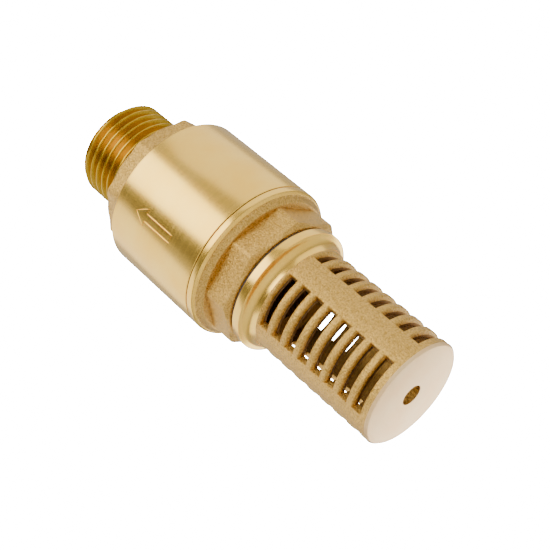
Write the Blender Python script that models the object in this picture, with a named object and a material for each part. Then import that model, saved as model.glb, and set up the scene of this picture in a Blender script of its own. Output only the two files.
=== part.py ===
"""Half inch brass foot valve: a spring check valve with a slotted strainer screwed into its inlet.

The valve hangs from its outlet thread, so the origin is the centre of the outlet end face and the
strainer points down. Everything is turned or cast about the Z axis. All sizes are in metres.
"""

import math

import bmesh
import bpy

# Resolution of the round faces
ROUND_STEPS = 48
SMALL_STEPS = 24
THREAD_STEPS = 24

# Clearances
SEAT_GAP = 0.00005  # between faces that bear on each other
FIT_GAP = 0.0001  # radial, between turned pieces that slip together
THREAD_GAP = 0.0002  # radial, between a male thread and its female thread
CREST_CUT = 0.00012  # taken off a female thread's crests, and below a male thread's root at its neck
OVERLAP = 0.001  # how far shapes of one casting run into each other
PAST = 0.002  # how far a cutter runs past the face that it opens

# Pipe thread of the outlet and of the strainer: G 1/2, 14 threads to the inch
PIPE_MAJOR = 0.0104775
PIPE_PITCH = 0.001814
PIPE_DEPTH = 0.001162
PIPE_CHAMFER = 0.0009
CREST_SHARE = 0.16  # flat crest and flat root, as shares of the pitch
ENVELOPE_TURN = math.radians(1.7)  # keeps a thread's edges clear of its envelope's edges
THREAD_START = 0.63  # where in a pitch every screw begins, so that no crest lies along an end face
PIPE_RELIEF = 0.0012  # unthreaded neck under the shoulder

# Body
OUTLET_LENGTH = 0.01315
OUTLET_BORE = 0.00725
OCTAGON_FLAT = 0.0135  # half of the 27 mm across flats
OCTAGON_CORNER_CUT = 0.0007
OUTLET_OCTAGON_HEIGHT = 0.0056
OUTLET_OCTAGON_TURN = math.radians(11.0)
BARREL_RADIUS = 0.0165
BARREL_HEIGHT = 0.02515  # down to the connector's chamfered edge
CHAMBER_RADIUS = 0.0130
GUIDE_SHOULDER = 0.0039  # from the thread's shoulder down to the guide's seat
CHAMBER_CONE = 0.0025

# Joint between body and connector
RIM_HEIGHT = 0.0019
RIM_CHAMFER = 0.0004
SEAM = 0.00012
JOINT_MAJOR = 0.0138
JOINT_PITCH = 0.0015
JOINT_DEPTH = 0.0008
SPIGOT_LENGTH = 0.0068
NECK_HEIGHT = 0.0022
O_RING_WIRE = 0.00075

# Inlet connector
SHOULDER_HEIGHT = 0.0012
SHOULDER_RADIUS = 0.0152
INLET_OCTAGON_HEIGHT = 0.0059
SOCKET_DEPTH = 0.0095
SEAT_BORE = 0.00775
SEAT_LIP = 0.0011
SEAT_LIP_HEIGHT = 0.0008
SEAT_RISE = 0.0046  # seat above the body joint
CUP_RADIUS = 0.0121

# Strainer
GASKET_THICKNESS = 0.00045
GASKET_RADIUS = 0.0129
FLANGE_RADIUS = 0.0133
FLANGE_HEIGHT = 0.0018
COLLAR_RADIUS = 0.0128
COLLAR_DROP = 0.0001
FILLET_HEIGHT = 0.0023
CAGE_RADIUS = 0.0112
CAGE_WALL = 0.0015
CAGE_LENGTH = 0.0289
END_WALL = 0.0019
END_CHAMFER = 0.0005
END_HOLE = 0.00215
SPIGOT_BORE = 0.0076
STRAINER_THREAD = 0.0085
SLOT_ROWS = 8
SLOT_COLUMNS = 4
SLOT_PITCH = 0.00347
SLOT_MOUTH = 0.00247
SLOT_THROAT = 0.00145
SLOT_HALF_WIDTH = 0.0056
SLOT_START = 0.0004  # from the fillet's foot down to the first slot
SLOT_TURN = math.radians(-18.0)
SLOT_STEPS = 6

# Moving check assembly
DISC_RADIUS = 0.0112
DISC_SKIRT = 0.0008
SKIRT_DROP = 0.0011
SEAL_THICKNESS = 0.0015
DISC_THICKNESS = 0.0014
BOSS_RADIUS = 0.0030
BOSS_HEIGHT = 0.0014
STEM_RADIUS = 0.0020
STEM_REACH = 0.0045  # past the top of the guide
STUD_RADIUS = 0.0015
RETAINER_RADIUS = 0.0065
RETAINER_THICKNESS = 0.0010
LOCK_WASHER_RADIUS = 0.0030
LOCK_WASHER_THICKNESS = 0.0006
LOCK_WASHER_SPLIT = math.radians(14.0)
NUT_FLAT = 0.00275
NUT_HEIGHT = 0.0024
STUD_PROUD = 0.0005

# Guide and spring
GUIDE_RADIUS = 0.0094
GUIDE_RING = 0.0014
GUIDE_HEIGHT = 0.0029
GUIDE_ARMS = 3
GUIDE_ARM_WIDTH = 0.0018
HUB_RADIUS = 0.0036
BUSH_RADIUS = 0.0026
BUSH_LIP = 0.0034
BUSH_LIP_HEIGHT = 0.0005
SPRING_RADIUS = 0.0050
SPRING_WIRE = 0.0004
SPRING_TURNS = 5.5
SPRING_STEPS = 18
WIRE_SIDES = 6

# Levels worked out from the sizes, from the outlet face at zero downwards
Z_SHOULDER = -OUTLET_LENGTH
Z_BARREL = Z_SHOULDER - OUTLET_OCTAGON_HEIGHT
Z_RIM = Z_BARREL - BARREL_HEIGHT
Z_JOINT = Z_RIM + RIM_HEIGHT
Z_OCTAGON = Z_RIM - SHOULDER_HEIGHT
Z_INLET = Z_OCTAGON - INLET_OCTAGON_HEIGHT
Z_GUIDE = Z_SHOULDER - GUIDE_SHOULDER
Z_CHAMBER = Z_GUIDE - GUIDE_HEIGHT
Z_SPIGOT = Z_JOINT + SPIGOT_LENGTH
Z_SEAT = Z_JOINT + SEAT_RISE
Z_SEAL_TOP = Z_SEAT + SEAT_GAP + SEAL_THICKNESS
Z_DISC_LOW = Z_SEAL_TOP + SEAT_GAP
Z_DISC_TOP = Z_DISC_LOW + DISC_THICKNESS
Z_GASKET = Z_INLET - SEAT_GAP
Z_FLANGE = Z_GASKET - GASKET_THICKNESS - SEAT_GAP
Z_COLLAR = Z_FLANGE - FLANGE_HEIGHT
Z_CAGE = Z_COLLAR - COLLAR_DROP - FILLET_HEIGHT
Z_END = Z_CAGE - CAGE_LENGTH
OCTAGON_SIDES = 8

BRASS = (0.80, 0.60, 0.30)
CAST_BRASS = (0.66, 0.47, 0.25)
STEEL = (0.62, 0.62, 0.63)
RUBBER = (0.03, 0.03, 0.032)
FIBRE = (0.16, 0.11, 0.07)
POLYMER = (0.82, 0.81, 0.76)


def clear_scene():
    for old in list(bpy.data.objects):
        bpy.data.objects.remove(old)


def material(name, colour, roughness, metallic):
    """One Principled finish, made once and shared by the pieces that have it."""
    made = bpy.data.materials.get(name) or bpy.data.materials.new(name)
    made.use_nodes = True
    shader = made.node_tree.nodes["Principled BSDF"]
    shader.inputs["Base Color"].default_value = (*colour, 1.0)
    shader.inputs["Roughness"].default_value = roughness
    shader.inputs["Metallic"].default_value = metallic
    return made


def object_from(name, points, faces, finish=None):
    """A mesh object with its normals pointing out and its round faces shaded smooth."""
    mesh = bpy.data.meshes.new(name)
    mesh.from_pydata(points, [], faces)
    work = bmesh.new()
    work.from_mesh(mesh)
    bmesh.ops.recalc_face_normals(work, faces=work.faces)
    work.to_mesh(mesh)
    work.free()
    mesh.shade_smooth()
    mesh.set_sharp_from_angle(angle=math.radians(35.0))
    made = bpy.data.objects.new(name, mesh)
    bpy.context.scene.collection.objects.link(made)
    if finish:
        made.data.materials.append(finish)
    return made


def as_helper(helper):
    """A cutter or an added shape: seen as wire, and left out of the build."""
    helper.hide_render = True
    helper.display_type = "WIRE"
    return helper


def turned(name, profile, steps=ROUND_STEPS, finish=None, turn=0.0):
    """Turns a closed (radius, height) outline about Z. A radius of zero becomes one pole."""
    points, rings = [], []
    for radius, height in profile:
        first = len(points)
        if radius == 0.0:
            points.append((0.0, 0.0, height))
            rings.append([first] * steps)
            continue
        for i in range(steps):
            angle = turn + 2.0 * math.pi * i / steps
            points.append((radius * math.cos(angle), radius * math.sin(angle), height))
        rings.append(list(range(first, first + steps)))
    faces = []
    for k, low in enumerate(rings):
        high = rings[(k + 1) % len(rings)]
        for i in range(steps):
            j = (i + 1) % steps
            corners = []
            for corner in (low[i], low[j], high[j], high[i]):
                if corner not in corners:
                    corners.append(corner)
            if len(corners) > 2:
                faces.append(corners)
    return object_from(name, points, faces, finish)


def prism(name, flat, sides, turn, low, high, finish=None):
    """A regular prism about Z, from its flat's distance, with a corner at the angle turn."""
    corner = flat / math.cos(math.pi / sides)
    points = []
    for height in (low, high):
        for i in range(sides):
            angle = turn + 2.0 * math.pi * i / sides
            points.append((corner * math.cos(angle), corner * math.sin(angle), height))
    faces = [list(range(sides)), list(range(sides, 2 * sides))]
    for i in range(sides):
        j = (i + 1) % sides
        faces.append([i, j, sides + j, sides + i])
    return object_from(name, points, faces, finish)


def screw(name, major, depth, pitch, low, high, steps):
    """A right-handed screw with flat crests and roots, longer than low to high at both ends.

    It starts a whole number of pitches from one level, so that two screws of one pitch are in step.
    """
    start = (math.floor(low / pitch) - 1 - THREAD_START) * pitch
    minor = major - depth
    slope = 0.5 - CREST_SHARE
    shares = (0.0, CREST_SHARE, CREST_SHARE + slope, 2.0 * CREST_SHARE + slope)
    radii = (minor, minor, major, major)
    per_turn = len(shares)
    turns = math.ceil((high - start) / pitch) + 1
    rows = turns * per_turn
    points = []
    for row in range(rows + 1):
        rise = (row // per_turn + shares[row % per_turn]) * pitch
        for i in range(steps):
            angle = 2.0 * math.pi * i / steps
            height = start + rise + pitch * i / steps
            points.append((radii[row % per_turn] * math.cos(angle),
                           radii[row % per_turn] * math.sin(angle), height))
    faces = []
    for row in range(rows):
        for i in range(steps - 1):
            a = row * steps + i
            faces += [[a, a + 1, a + steps + 1], [a, a + steps + 1, a + steps]]
    last = steps - 1
    for row in range(rows - per_turn):
        a = row * steps + last
        b = (row + per_turn) * steps
        faces += [[a, b, b + steps], [a, b + steps, a + steps]]
    bottom = list(range(steps)) + [row * steps for row in range(per_turn, 0, -1)]
    top_row = rows * steps
    top = [top_row + i for i in range(steps)]
    top += [row * steps + last for row in range(rows - 1, rows - per_turn - 1, -1)]
    foot = len(points)
    points.append((0.0, 0.0, start - pitch))
    points.append((0.0, 0.0, high + 3.0 * pitch))
    for loop, pole in ((bottom, foot), (top, foot + 1)):
        for i, corner in enumerate(loop):
            faces.append([corner, loop[(i + 1) % len(loop)], pole])
    return as_helper(object_from(name, points, faces))


def combine(target, operation, other):
    """A Boolean modifier, which stays on the object."""
    step = target.modifiers.new(f"{operation.lower()}_{other.name}", "BOOLEAN")
    step.operation = operation
    step.object = as_helper(other)
    step.solver = "EXACT"
    return target


def chamfered_octagon(name, low, high, turn, cut_low, cut_high):
    """A wrench octagon whose corners are cut to a cone at one or both ends."""
    corner = OCTAGON_FLAT / math.cos(math.pi / OCTAGON_SIDES) + OVERLAP
    slope = corner - OCTAGON_FLAT
    drop = OCTAGON_CORNER_CUT * slope / (slope - OVERLAP)
    outline = [(0.0, low)]
    outline += [(OCTAGON_FLAT, low), (corner, low + drop)] if cut_low else [(corner, low)]
    outline += [(corner, high - drop), (OCTAGON_FLAT, high)] if cut_high else [(corner, high)]
    outline += [(0.0, high)]
    block = prism(name, OCTAGON_FLAT, OCTAGON_SIDES, turn, low - PAST, high + PAST)
    return combine(block, "INTERSECT", turned(f"{name}_envelope", outline))


def male_thread(name, major, depth, pitch, low, high, chamfer, steps):
    """A screw trimmed to length, with its free end chamfered. The chamfer is on top."""
    outline = [(0.0, low), (major + PAST, low), (major + PAST, high - chamfer - PAST),
               (major - chamfer, high), (0.0, high)]
    rod = screw(name, major, depth, pitch, low, high, steps)
    return combine(rod, "INTERSECT", turned(f"{name}_envelope", outline, turn=ENVELOPE_TURN))


def build_body(finish):
    """Outlet thread, wrench octagon and barrel in one casting, with the check chamber inside."""
    body = turned("valve_body", [(0.0, Z_JOINT), (BARREL_RADIUS, Z_JOINT), (BARREL_RADIUS, Z_BARREL),
                                 (0.0, Z_BARREL)], finish=finish)
    combine(body, "UNION", chamfered_octagon("outlet_octagon", Z_BARREL - OVERLAP, Z_SHOULDER,
                                             OUTLET_OCTAGON_TURN, False, True))
    neck = PIPE_MAJOR - PIPE_DEPTH - CREST_CUT
    combine(body, "UNION", turned("outlet_neck", [
        (0.0, Z_SHOULDER - OVERLAP), (neck, Z_SHOULDER - OVERLAP),
        (neck, Z_SHOULDER + PIPE_RELIEF + OVERLAP), (0.0, Z_SHOULDER + PIPE_RELIEF + OVERLAP)]))
    combine(body, "UNION", male_thread("outlet_thread", PIPE_MAJOR, PIPE_DEPTH, PIPE_PITCH,
                                       Z_SHOULDER + PIPE_RELIEF, 0.0, PIPE_CHAMFER, THREAD_STEPS))
    root = JOINT_MAJOR - JOINT_DEPTH + THREAD_GAP + CREST_CUT
    neck_bore = neck_radius() + 2.0 * O_RING_WIRE + 2.0 * FIT_GAP
    combine(body, "DIFFERENCE", turned("body_bore", [
        (0.0, Z_JOINT - PAST), (neck_bore, Z_JOINT - PAST),
        (neck_bore, Z_JOINT + NECK_HEIGHT), (root, Z_JOINT + NECK_HEIGHT),
        (root, Z_SPIGOT + JOINT_PITCH), (CHAMBER_RADIUS, Z_SPIGOT + JOINT_PITCH),
        (CHAMBER_RADIUS, Z_CHAMBER - CHAMBER_CONE), (GUIDE_RADIUS + FIT_GAP, Z_CHAMBER),
        (GUIDE_RADIUS + FIT_GAP, Z_GUIDE), (OUTLET_BORE, Z_GUIDE), (OUTLET_BORE, PAST), (0.0, PAST)]))
    combine(body, "DIFFERENCE", male_thread(
        "body_socket_thread", JOINT_MAJOR + THREAD_GAP, JOINT_DEPTH, JOINT_PITCH,
        Z_JOINT - PAST, Z_SPIGOT + JOINT_PITCH - FIT_GAP, JOINT_DEPTH, THREAD_STEPS))
    return body


def neck_radius():
    """The plain neck of the connector's spigot, on which the O-ring sits."""
    return JOINT_MAJOR - JOINT_DEPTH - FIT_GAP


def build_connector(finish):
    """Flush rim, cast shoulder and wrench octagon outside, valve seat and strainer socket inside."""
    low_joint = Z_JOINT - SEAM
    neck = neck_radius()
    connector = turned("inlet_connector", [
        (0.0, Z_OCTAGON), (SHOULDER_RADIUS, Z_OCTAGON), (BARREL_RADIUS - RIM_CHAMFER, Z_RIM),
        (BARREL_RADIUS, Z_RIM + RIM_CHAMFER), (BARREL_RADIUS, low_joint), (neck, low_joint),
        (neck, Z_JOINT + NECK_HEIGHT + OVERLAP), (0.0, Z_JOINT + NECK_HEIGHT + OVERLAP)], finish=finish)
    combine(connector, "UNION", chamfered_octagon(
        "inlet_octagon", Z_INLET, Z_OCTAGON + OVERLAP, 0.0, True, False))
    combine(connector, "UNION", male_thread(
        "spigot_thread", JOINT_MAJOR, JOINT_DEPTH, JOINT_PITCH, Z_JOINT + NECK_HEIGHT,
        Z_SPIGOT, JOINT_DEPTH, THREAD_STEPS))
    floor = Z_SEAT - SEAT_LIP_HEIGHT
    socket_root = PIPE_MAJOR - PIPE_DEPTH + THREAD_GAP + CREST_CUT
    combine(connector, "DIFFERENCE", turned("connector_bore", [
        (0.0, Z_INLET - PAST), (socket_root, Z_INLET - PAST),
        (socket_root, Z_INLET + SOCKET_DEPTH), (SEAT_BORE, Z_INLET + SOCKET_DEPTH),
        (SEAT_BORE, Z_SEAT), (SEAT_BORE + SEAT_LIP, Z_SEAT), (SEAT_BORE + SEAT_LIP, floor),
        (CUP_RADIUS, floor), (CUP_RADIUS, Z_SPIGOT + PAST), (0.0, Z_SPIGOT + PAST)]))
    combine(connector, "DIFFERENCE", screw_socket())
    return connector


def screw_socket():
    """The strainer's female thread, in step with the male thread at rest."""
    return male_thread("connector_socket_thread", PIPE_MAJOR + THREAD_GAP, PIPE_DEPTH, PIPE_PITCH,
                       Z_INLET - PAST, Z_INLET + SOCKET_DEPTH - FIT_GAP, PIPE_DEPTH, SMALL_STEPS)


def slot_block(row, column):
    """(points, faces) of one slot: a drafted groove round the cage with its ends parallel."""
    middle = Z_CAGE - SLOT_START - SLOT_MOUTH / 2.0 - row * SLOT_PITCH
    inner, outer = CAGE_RADIUS - CAGE_WALL, CAGE_RADIUS
    slope = (SLOT_MOUTH - SLOT_THROAT) / 2.0 / CAGE_WALL
    reach = 0.0006  # past each face of the wall
    centre = SLOT_TURN + 2.0 * math.pi * column / SLOT_COLUMNS
    points = []
    for step in range(SLOT_STEPS + 1):
        share = 2.0 * step / SLOT_STEPS - 1.0
        for radius, half in ((inner - reach, SLOT_THROAT / 2.0 - slope * reach),
                             (outer + reach, SLOT_MOUTH / 2.0 + slope * reach)):
            angle = centre + share * math.asin(SLOT_HALF_WIDTH / radius)
            for side in (-half, half):
                points.append((radius * math.cos(angle), radius * math.sin(angle), middle + side))
    faces = [[0, 1, 3, 2], [4 * SLOT_STEPS + k for k in (0, 2, 3, 1)]]
    for step in range(SLOT_STEPS):
        a = 4 * step
        for i, j in ((0, 1), (1, 3), (3, 2), (2, 0)):
            faces.append([a + i, a + j, a + 4 + j, a + 4 + i])
    return points, faces


def slot_cutters():
    """All slots of the cage as one cutter."""
    points, faces = [], []
    for row in range(SLOT_ROWS):
        for column in range(SLOT_COLUMNS):
            more, sides = slot_block(row, column)
            faces += [[len(points) + corner for corner in side] for side in sides]
            points += more
    return as_helper(object_from("strainer_slots", points, faces))


def build_strainer(finish):
    """Threaded spigot, turned flange and a cast cage with slots in four columns."""
    inner = CAGE_RADIUS - CAGE_WALL
    z_floor = Z_END + END_WALL
    fillet_steps = 4
    outline = [(0.0, Z_END), (CAGE_RADIUS - END_CHAMFER, Z_END), (CAGE_RADIUS, Z_END + END_CHAMFER)]
    for i in range(fillet_steps + 1):
        angle = math.pi / 2.0 * i / fillet_steps
        outline.append((COLLAR_RADIUS - (COLLAR_RADIUS - CAGE_RADIUS) * math.cos(angle),
                        Z_CAGE + FILLET_HEIGHT * math.sin(angle)))
    top = Z_FLANGE + OVERLAP
    neck = PIPE_MAJOR - PIPE_DEPTH - CREST_CUT
    outline += [(FLANGE_RADIUS, Z_COLLAR), (FLANGE_RADIUS, Z_FLANGE), (neck, Z_FLANGE),
                (neck, top), (0.0, top)]
    strainer = turned("strainer", outline, finish=finish)
    combine(strainer, "UNION", male_thread(
        "strainer_thread", PIPE_MAJOR, PIPE_DEPTH, PIPE_PITCH, Z_FLANGE + OVERLAP / 2.0,
        Z_FLANGE + STRAINER_THREAD, PIPE_CHAMFER, SMALL_STEPS))
    flare = Z_COLLAR
    combine(strainer, "DIFFERENCE", turned("strainer_bore", [
        (0.0, z_floor), (inner, z_floor), (inner, flare - (inner - SPIGOT_BORE)),
        (SPIGOT_BORE, flare), (SPIGOT_BORE, Z_FLANGE + STRAINER_THREAD + PAST),
        (0.0, Z_FLANGE + STRAINER_THREAD + PAST)]))
    combine(strainer, "DIFFERENCE", turned("end_hole", [
        (0.0, Z_END - PAST), (END_HOLE, Z_END - PAST), (END_HOLE, z_floor + PAST),
        (0.0, z_floor + PAST)], SMALL_STEPS))
    combine(strainer, "DIFFERENCE", slot_cutters())
    return strainer


def build_seals(rubber, fibre):
    """O-ring of the body joint, flat ring under the strainer's flange, and the seat seal."""
    wire = []
    ring_radius = neck_radius() + FIT_GAP + O_RING_WIRE
    for i in range(8):
        angle = 2.0 * math.pi * i / 8
        wire.append((ring_radius + O_RING_WIRE * math.cos(angle),
                     Z_JOINT + NECK_HEIGHT / 2.0 + O_RING_WIRE * math.sin(angle)))
    turned("body_o_ring", wire, finish=rubber)
    inner = PIPE_MAJOR + THREAD_GAP
    turned("strainer_gasket", [(inner, Z_GASKET - GASKET_THICKNESS), (GASKET_RADIUS, Z_GASKET - GASKET_THICKNESS),
                               (GASKET_RADIUS, Z_GASKET), (inner, Z_GASKET)], finish=fibre)
    hole = STUD_RADIUS + FIT_GAP
    edge = DISC_RADIUS - DISC_SKIRT - FIT_GAP
    low = Z_SEAL_TOP - SEAL_THICKNESS
    turned("seat_seal", [(hole, low), (edge, low), (edge, Z_SEAL_TOP), (hole, Z_SEAL_TOP)],
           finish=rubber)


def build_poppet(brass, steel):
    """The check disc with its stem, and what clamps the seal to it: retainer, lock washer and nut."""
    z_stem = Z_GUIDE + STEM_REACH
    z_retainer = Z_SEAL_TOP - SEAL_THICKNESS - SEAT_GAP
    z_washer = z_retainer - RETAINER_THICKNESS - SEAT_GAP
    z_nut = z_washer - LOCK_WASHER_THICKNESS - SEAT_GAP
    z_stud = z_nut - NUT_HEIGHT - STUD_PROUD
    recess = DISC_RADIUS - DISC_SKIRT
    turned("poppet", [
        (0.0, z_stud), (STUD_RADIUS, z_stud), (STUD_RADIUS, Z_DISC_LOW), (recess, Z_DISC_LOW),
        (recess, Z_DISC_LOW - SKIRT_DROP), (DISC_RADIUS, Z_DISC_LOW - SKIRT_DROP),
        (DISC_RADIUS, Z_DISC_TOP), (BOSS_RADIUS, Z_DISC_TOP), (BOSS_RADIUS, Z_DISC_TOP + BOSS_HEIGHT),
        (STEM_RADIUS, Z_DISC_TOP + BOSS_HEIGHT), (STEM_RADIUS, z_stem - STEM_RADIUS / 4.0),
        (STEM_RADIUS * 0.75, z_stem), (0.0, z_stem)], SMALL_STEPS, brass)
    hole = STUD_RADIUS + FIT_GAP
    turned("seal_retainer", [
        (hole, z_retainer - RETAINER_THICKNESS), (RETAINER_RADIUS, z_retainer - RETAINER_THICKNESS),
        (RETAINER_RADIUS, z_retainer), (hole, z_retainer)], SMALL_STEPS, brass)
    build_lock_washer(hole, z_washer, steel)
    nut = prism("retainer_nut", NUT_FLAT, 6, 0.0, z_nut - NUT_HEIGHT, z_nut, steel)
    combine(nut, "DIFFERENCE", turned("nut_bore", [
        (0.0, z_nut - NUT_HEIGHT - PAST), (hole, z_nut - NUT_HEIGHT - PAST), (hole, z_nut + PAST),
        (0.0, z_nut + PAST)], SMALL_STEPS))


def build_lock_washer(hole, z_top, steel):
    """A split spring washer: a square wire ring with a gap."""
    points, faces = [], []
    span = 2.0 * math.pi - LOCK_WASHER_SPLIT
    for i in range(SMALL_STEPS + 1):
        angle = LOCK_WASHER_SPLIT / 2.0 + span * i / SMALL_STEPS
        for radius in (hole, LOCK_WASHER_RADIUS):
            for height in (z_top - LOCK_WASHER_THICKNESS, z_top):
                points.append((radius * math.cos(angle), radius * math.sin(angle), height))
    faces = [[0, 1, 3, 2], [4 * SMALL_STEPS + k for k in (0, 2, 3, 1)]]
    for i in range(SMALL_STEPS):
        for a, b in ((0, 1), (1, 3), (3, 2), (2, 0)):
            faces.append([4 * i + a, 4 * i + b, 4 * i + 4 + b, 4 * i + 4 + a])
    object_from("lock_washer", points, faces, steel)


def build_guide(brass, polymer):
    """The three-armed guide pressed into the outlet, and the bush in which the stem slides."""
    z_top = Z_GUIDE - SEAT_GAP
    z_low = z_top - GUIDE_HEIGHT + 2.0 * SEAT_GAP
    inner = GUIDE_RADIUS - GUIDE_RING
    guide = turned("stem_guide", [(inner, z_low), (GUIDE_RADIUS, z_low), (GUIDE_RADIUS, z_top),
                                  (inner, z_top)], finish=brass)
    hub = turned("guide_hub", [(0.0, z_low), (HUB_RADIUS, z_low), (HUB_RADIUS, z_top), (0.0, z_top)])
    combine(guide, "UNION", hub)
    reach = inner + GUIDE_RING / 2.0
    for arm in range(GUIDE_ARMS):
        angle = 2.0 * math.pi * arm / GUIDE_ARMS
        combine(guide, "UNION", guide_arm(arm, angle, reach, z_low, z_top))
    combine(guide, "DIFFERENCE", turned("guide_bore", [
        (0.0, z_low - PAST), (BUSH_RADIUS, z_low - PAST), (BUSH_RADIUS, z_top + PAST),
        (0.0, z_top + PAST)], SMALL_STEPS))
    z_lip = z_top + SEAT_GAP
    bore = STEM_RADIUS + FIT_GAP
    skin = BUSH_RADIUS - FIT_GAP
    turned("guide_bush", [
        (bore, z_low), (skin, z_low), (skin, z_lip), (BUSH_LIP, z_lip),
        (BUSH_LIP, z_lip + BUSH_LIP_HEIGHT), (bore, z_lip + BUSH_LIP_HEIGHT)], SMALL_STEPS, polymer)


def guide_arm(number, angle, reach, low, high):
    """One arm from the hub to the ring, a little thinner than both so that no faces coincide."""
    start, half, skin = HUB_RADIUS / 2.0 + BUSH_RADIUS / 2.0, GUIDE_ARM_WIDTH / 2.0, 0.0002
    points = []
    for height in (low + skin, high - skin):
        for along, side in ((start, -half), (reach, -half), (reach, half), (start, half)):
            points.append((along * math.cos(angle) - side * math.sin(angle),
                           along * math.sin(angle) + side * math.cos(angle), height))
    faces = [[0, 1, 2, 3], [4, 5, 6, 7], [0, 1, 5, 4], [1, 2, 6, 5], [2, 3, 7, 6], [3, 0, 4, 7]]
    return object_from(f"guide_arm_{number}", points, faces)


def build_spring(steel):
    """A compression spring with a closed turn at each end, between the guide's arms and the disc."""
    low = Z_DISC_TOP + SEAT_GAP + SPRING_WIRE
    high = Z_GUIDE - GUIDE_HEIGHT - SEAT_GAP - SPRING_WIRE
    closed = 2.0 * SPRING_WIRE + SEAT_GAP
    count = int(SPRING_TURNS * SPRING_STEPS)
    open_turns = SPRING_TURNS - 2.0
    points, faces = [], []
    for i in range(count + 1):
        turn = i / SPRING_STEPS
        share = min(max((turn - 1.0) / open_turns, 0.0), 1.0)
        height = low + closed * (min(turn, 1.0) + max(turn - SPRING_TURNS + 1.0, 0.0))
        height += share * (high - low - 2.0 * closed)
        angle = 2.0 * math.pi * turn
        for side in range(WIRE_SIDES):
            around = 2.0 * math.pi * side / WIRE_SIDES
            radius = SPRING_RADIUS + SPRING_WIRE * math.cos(around)
            points.append((radius * math.cos(angle), radius * math.sin(angle),
                           height + SPRING_WIRE * math.sin(around)))
    for i in range(count):
        for side in range(WIRE_SIDES):
            a, b = i * WIRE_SIDES + side, i * WIRE_SIDES + (side + 1) % WIRE_SIDES
            faces.append([a, b, b + WIRE_SIDES, a + WIRE_SIDES])
    faces.append(list(range(WIRE_SIDES)))
    faces.append([count * WIRE_SIDES + side for side in range(WIRE_SIDES)])
    object_from("valve_spring", points, faces, steel)


def build():
    clear_scene()
    turned_brass = material("turned_brass", BRASS, 0.30, 1.0)
    cast_brass = material("cast_brass", CAST_BRASS, 0.55, 1.0)
    steel = material("stainless_steel", STEEL, 0.30, 1.0)
    rubber = material("black_rubber", RUBBER, 0.70, 0.0)
    build_body(turned_brass)
    build_connector(cast_brass)
    build_strainer(cast_brass)
    build_seals(rubber, material("fibre_gasket", FIBRE, 0.85, 0.0))
    build_poppet(turned_brass, steel)
    build_guide(turned_brass, material("guide_polymer", POLYMER, 0.45, 0.0))
    build_spring(steel)


build()
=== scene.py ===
# %% [markdown]
# # A brass foot valve
# The valve hangs upright from its outlet thread: the thread is on top, the strainer is at the
# bottom, and everything is round about the Z axis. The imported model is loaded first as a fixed
# frame. Each visible piece is then made again with fine edges, real threads and a worked finish.

# %% The frame
import math

import bmesh
import bpy
from mathutils import Matrix, Vector


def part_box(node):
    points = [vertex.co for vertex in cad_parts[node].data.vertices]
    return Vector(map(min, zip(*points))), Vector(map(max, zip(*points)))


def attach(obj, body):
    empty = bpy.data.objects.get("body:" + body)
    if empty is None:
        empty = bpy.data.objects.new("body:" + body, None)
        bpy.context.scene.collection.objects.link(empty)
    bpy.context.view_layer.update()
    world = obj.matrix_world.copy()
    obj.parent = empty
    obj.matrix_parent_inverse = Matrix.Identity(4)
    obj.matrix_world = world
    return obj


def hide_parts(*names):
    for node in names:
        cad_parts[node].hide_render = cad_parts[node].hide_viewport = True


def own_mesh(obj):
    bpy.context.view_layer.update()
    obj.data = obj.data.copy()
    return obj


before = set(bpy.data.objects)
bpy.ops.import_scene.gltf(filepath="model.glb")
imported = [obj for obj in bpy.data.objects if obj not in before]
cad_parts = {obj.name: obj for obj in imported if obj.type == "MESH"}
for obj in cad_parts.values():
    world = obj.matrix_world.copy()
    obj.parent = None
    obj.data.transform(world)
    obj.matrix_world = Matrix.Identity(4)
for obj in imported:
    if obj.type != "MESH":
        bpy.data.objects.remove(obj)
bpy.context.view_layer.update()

# %% [markdown]
# ## Levels
# Every height is measured down from the outlet's face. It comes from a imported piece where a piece
# ends there. The rest could be read from the meshes, but they are sizes that the castings were
# drawn with, so they are simply written here, in metres.

# %% Levels and radii
body_box, connector_box, strainer_box = (
    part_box(name) for name in ("valve_body", "inlet_connector", "strainer"))
END = strainer_box[0][2]
JOINT = body_box[0][2]
INLET = connector_box[0][2]
SHOULDER, BARREL_TOP = -0.01315, -0.01875
GUIDE_TOP, GUIDE_LOW = -0.01705, -0.01995
CHAMBER_TOP, CHAMBER_LOW = -0.02245, -0.03370
RIM = JOINT - 0.0019
FLANGE_TOP = INLET - 0.00055
CAGE_TOP = FLANGE_TOP - 0.0042
BARREL, FLAT, CORNER = 0.0165, 0.0135, 0.01461
MAJOR, PITCH, DEPTH = 0.0104775, 0.001814, 0.001162
NECK = MAJOR - DEPTH - 0.0001
OUTLET_BORE = 0.00725
CAGE, WALL = 0.0112, 0.0015
SEGMENTS = 240
print("joint", JOINT, "inlet", INLET, "cage", CAGE_TOP, END)

# %% [markdown]
# ## Finishes
# The same brass shows three ways. A turned face has fine rings left by the tool, so its noise is
# read from the radius and the height only. A cast face is sandy and a little pinker. The thread is
# cut bright, but deeper in colour. The bores and the hidden joint faces get a dark brown that is
# painted shade, not a finish. All patterns are in Object coordinates, so they stay on the metal.

# %% Node helpers
def new_finish(name):
    made = bpy.data.materials.new(name)
    made.use_nodes = True
    shader = made.node_tree.nodes["Principled BSDF"]
    return made, made.node_tree.nodes, made.node_tree.links, shader


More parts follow.
